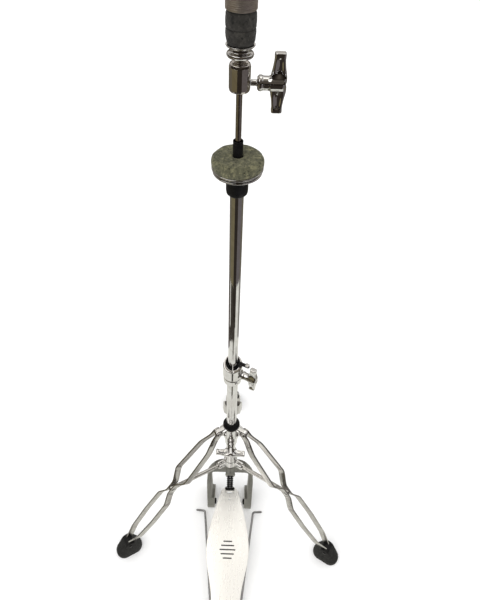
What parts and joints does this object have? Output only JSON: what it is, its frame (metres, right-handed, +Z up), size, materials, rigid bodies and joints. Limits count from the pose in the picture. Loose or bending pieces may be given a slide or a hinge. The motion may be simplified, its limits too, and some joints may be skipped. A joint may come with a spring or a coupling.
{
  "type": "hi-hat stand",
  "caption": "Hi-hat stand with a double-braced folding tripod, telescoping column, chain-driven footboard, felt cymbal seat and drop clutch.",
  "frame": {"origin": "centre of the footprint's bounding box, on the floor", "axes": "+Z up along the column, -Y towards the player, +X to the player's right"},
  "size_m": [0.5106, 0.692, 1.115],
  "materials": {
    "chrome": "polished chrome plate",
    "plated_bar": "bright nickel-plated flat bar, edges slightly dull",
    "cast_frame": "satin die casting with fine grain",
    "pedal_plate": "brushed lengthwise, bright",
    "black_plastic": "moulded nylon, satin",
    "rubber": "moulded rubber, matt",
    "seat_felt": "pressed wool felt, mottled",
    "clutch_felt": "dense pressed felt, dark",
    "nut_steel": "plated, fine turned grooves",
    "clevis_steel": "plain plated steel, satin",
    "spring_steel": "drawn wire, oiled",
    "black_steel": "black oxide, lightly oiled"
  },
  "bodies": {
    "base": {"base_frame": "cast_frame", "hook_bushes": "black_plastic", "lower_tube": "chrome", "spring_seat": "black_plastic", "brace_hub": "chrome", "hub_pins": "chrome", "height_clamp": "chrome", "height_bush": "black_plastic", "clamp_strap": "black_plastic", "clamp_fasteners": "chrome", "heel_plate": "pedal_plate", "heel_pad": "rubber", "hinge_pin": "chrome", "rod_pivots": "chrome"},
    "collar": {"leg_collar": "chrome", "collar_bush": "black_plastic", "leg_bolts": "chrome"},
    "collar_wing": {"collar_wing_bolt": "chrome"},
    "left_leg": {"left_leg_front_bar": "plated_bar", "left_leg_rear_bar": "plated_bar", "left_leg_rivets": "plated_bar", "left_leg_foot": "rubber"},
    "right_leg": {"right_leg_front_bar": "plated_bar", "right_leg_rear_bar": "plated_bar", "right_leg_rivets": "plated_bar", "right_leg_foot": "rubber"},
    "back_leg": {"back_leg_right_bar": "plated_bar", "back_leg_left_bar": "plated_bar", "back_leg_rivets": "plated_bar", "back_leg_foot": "rubber"},
    "left_strut": {"left_brace": "plated_bar"},
    "right_strut": {"right_brace": "plated_bar"},
    "back_strut": {"back_brace": "plated_bar"},
    "upper": {"upper_tube": "chrome", "seat_base": "black_plastic", "seat_disc": "chrome"},
    "tilt_knob": {"tilt_screw": "chrome"},
    "seat": {"seat_cup": "chrome", "seat_felt": "seat_felt", "seat_sleeve": "black_plastic"},
    "height_wing": {"height_wing_bolt": "chrome"},
    "rod": {"pull_rod": "chrome", "spring_collar": "spring_steel", "return_spring": "spring_steel", "clevis": "clevis_steel", "clevis_pin": "chrome"},
    "chain": {"chain_links": "black_steel", "chain_rollers": "black_steel"},
    "pedal": {"footboard": "pedal_plate", "toe_bracket": "black_steel", "toe_pin": "black_steel"},
    "left_rod": {"left_radius_rod": "chrome"},
    "right_rod": {"right_radius_rod": "chrome"},
    "clutch": {"clutch_body": "chrome", "clutch_sleeve": "chrome", "clutch_washer": "chrome", "clutch_felts": "clutch_felt"},
    "clutch_wing": {"clutch_wing_bolt": "chrome"},
    "lock_nut": {"clutch_lock_nut": "chrome"},
    "top_nut": {"clutch_nut": "nut_steel"}
  },
  "joints": [
    {"name": "collar_slide", "type": "slide", "parent": "base", "child": "collar", "axis": [0, 0, 1], "range_m": [0, 0.11]},
    {"name": "left_leg_fold", "type": "hinge", "parent": "collar", "child": "left_leg", "pos_m": [-0.02598, 0.039, 0.354], "axis": [0.5, -0.866, 0], "range_deg": [0, 17]},
    {"name": "right_leg_fold", "type": "hinge", "parent": "collar", "child": "right_leg", "pos_m": [0.02598, 0.039, 0.354], "axis": [0.5, 0.866, 0], "range_deg": [0, 17]},
    {"name": "back_leg_fold", "type": "hinge", "parent": "collar", "child": "back_leg", "pos_m": [0, 0.084, 0.354], "axis": [-1, 0, 0], "range_deg": [0, 17]},
    {"name": "left_brace_fold", "type": "hinge", "parent": "base", "child": "left_strut", "pos_m": [-0.02252, 0.041, 0.2], "axis": [-0.5, 0.866, 0], "range_deg": [0, 52]},
    {"name": "right_brace_fold", "type": "hinge", "parent": "base", "child": "right_strut", "pos_m": [0.02252, 0.041, 0.2], "axis": [-0.5, -0.866, 0], "range_deg": [0, 52]},
    {"name": "back_brace_fold", "type": "hinge", "parent": "base", "child": "back_strut", "pos_m": [0, 0.08, 0.2], "axis": [1, 0, 0], "range_deg": [0, 52]},
    {"name": "collar_wing_turn", "type": "hinge", "parent": "collar", "child": "collar_wing", "pos_m": [0, 0.014, 0.325], "axis": [0, -1, 0], "continuous": true},
    {"name": "height_slide", "type": "slide", "parent": "base", "child": "upper", "axis": [0, 0, 1], "range_m": [-0.11, 0.01]},
    {"name": "height_wing_turn", "type": "hinge", "parent": "base", "child": "height_wing", "pos_m": [0.02719, 0.04132, 0.546], "axis": [0.9063, -0.4226, 0], "continuous": true},
    {"name": "seat_tilt", "type": "hinge", "parent": "upper", "child": "seat", "pos_m": [0, 0.054, 0.9315], "axis": [1, 0, 0], "range_deg": [0, 1.8]},
    {"name": "tilt_screw_turn", "type": "hinge", "parent": "upper", "child": "tilt_knob", "pos_m": [0, 0.074, 0.918], "axis": [0, 0, 1], "continuous": true},
    {"name": "pedal_press", "type": "hinge", "parent": "base", "child": "pedal", "pos_m": [0, -0.236, 0.024], "axis": [-1, 0, 0], "range_deg": [0, 8]},
    {"name": "rod_pull", "type": "slide", "parent": "base", "child": "rod", "axis": [0, 0, -1], "range_m": [0, 0.04], "stiffness_N_per_m": 1000, "springref_m": -0.025, "deforming": ["return_spring"]},
    {"name": "chain_swing", "type": "hinge", "parent": "rod", "child": "chain", "pos_m": [0, 0.054, 0.12], "axis": [1, 0, 0], "range_deg": [0, 4]},
    {"name": "left_rod_swing", "type": "hinge", "parent": "base", "child": "left_rod", "pos_m": [-0.025, -0.246, 0.0108], "axis": [0, 0, -1], "range_deg": [0, 6.4]},
    {"name": "right_rod_swing", "type": "hinge", "parent": "base", "child": "right_rod", "pos_m": [0.025, -0.246, 0.0108], "axis": [0, 0, 1], "range_deg": [0, 6.4]},
    {"name": "clutch_slide", "type": "slide", "parent": "rod", "child": "clutch", "axis": [0, 0, 1], "range_m": [-0.04, 0.008]},
    {"name": "clutch_wing_turn", "type": "hinge", "parent": "clutch", "child": "clutch_wing", "pos_m": [0.03, 0.054, 1.0255], "axis": [1, 0, 0], "continuous": true},
    {"name": "lock_nut_turn", "type": "hinge", "parent": "clutch", "child": "lock_nut", "pos_m": [0, 0.054, 1.051], "axis": [0, 0, 1], "continuous": true},
    {"name": "top_nut_turn", "type": "hinge", "parent": "clutch", "child": "top_nut", "pos_m": [0, 0.054, 1.095], "axis": [0, 0, 1], "continuous": true}
  ],
  "couplings": [
    {"joint": "left_leg_fold", "follows": "collar_slide", "rad_per_m": 2.6505},
    {"joint": "right_leg_fold", "follows": "collar_slide", "rad_per_m": 2.6505},
    {"joint": "back_leg_fold", "follows": "collar_slide", "rad_per_m": 2.6505},
    {"joint": "left_brace_fold", "follows": "collar_slide", "rad_per_m": 8.0871},
    {"joint": "right_brace_fold", "follows": "collar_slide", "rad_per_m": 8.0871},
    {"joint": "back_brace_fold", "follows": "collar_slide", "rad_per_m": 8.0871},
    {"joint": "rod_pull", "follows": "pedal_press", "m_per_rad": 0.27581},
    {"joint": "chain_swing", "follows": "pedal_press", "ratio": 0.4125}
  ]
}
